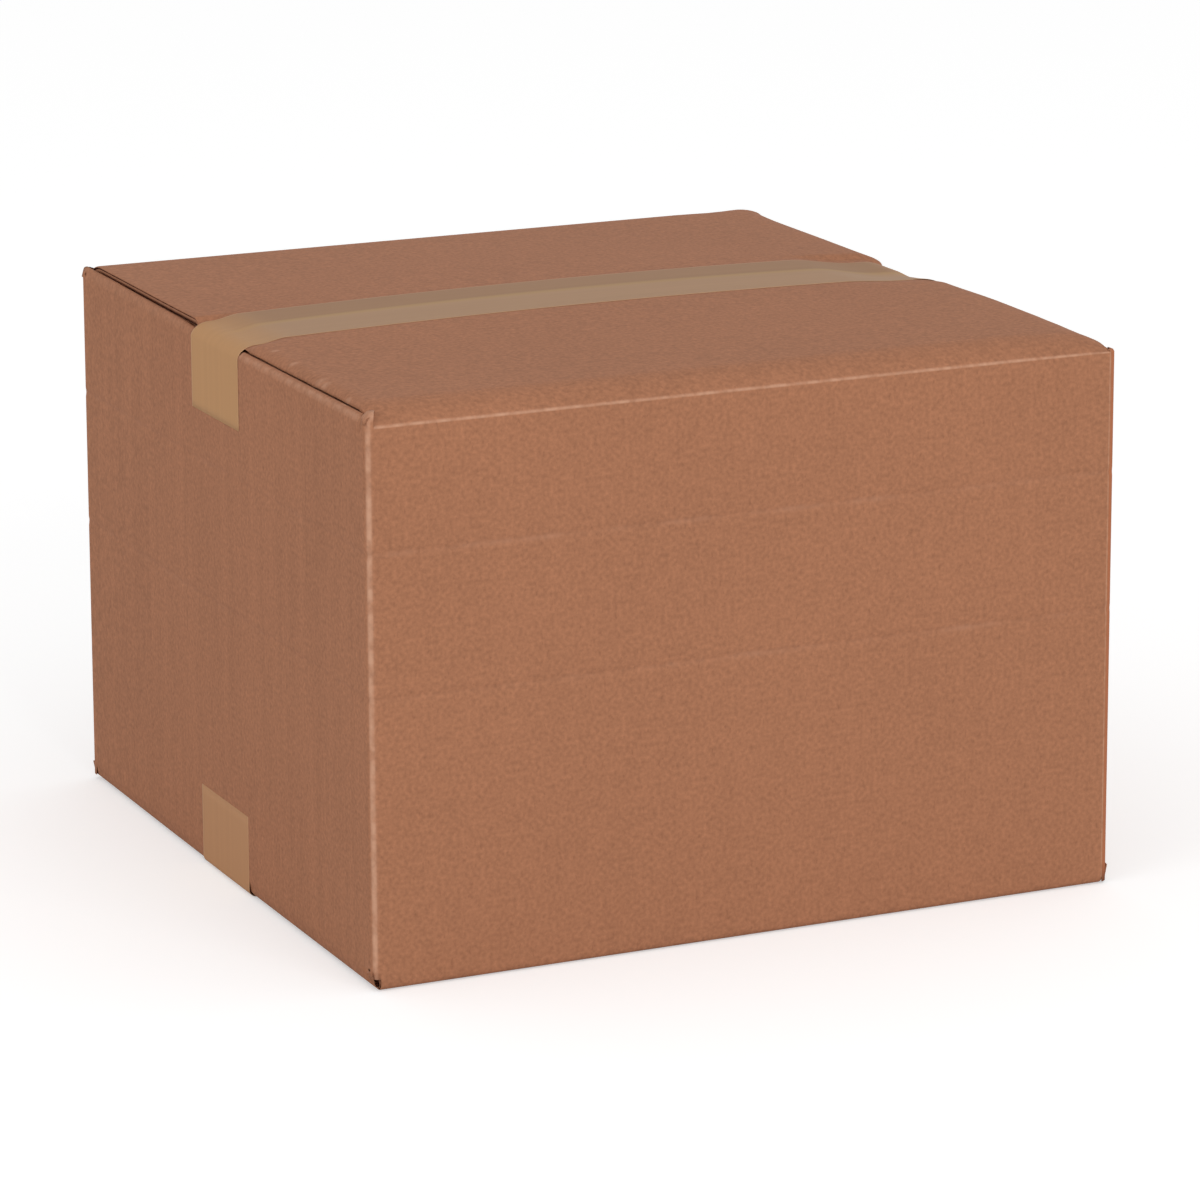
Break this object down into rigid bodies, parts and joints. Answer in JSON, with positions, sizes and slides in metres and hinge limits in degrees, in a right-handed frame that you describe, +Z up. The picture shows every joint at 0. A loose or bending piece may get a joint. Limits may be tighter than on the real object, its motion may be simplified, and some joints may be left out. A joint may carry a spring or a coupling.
{
  "type": "carton",
  "caption": "Closed cardboard carton of brown corrugated board, folded from one scored blank, its top and base seams held with buff packing tape, with worn folds and two scores round its walls.",
  "frame": {"origin": "middle of the base, at the floor", "axes": "+X along the box, its seams and its tapes, +Y from the front panel to the back panel, +Z up"},
  "size_m": [0.3134, 0.3128, 0.2248],
  "materials": {
    "board": "matte",
    "tape": "satin"
  },
  "bodies": {
    "root": {"carton": "board", "top_tape": "tape", "bottom_tape": "tape"}
  },
  "joints": []
}
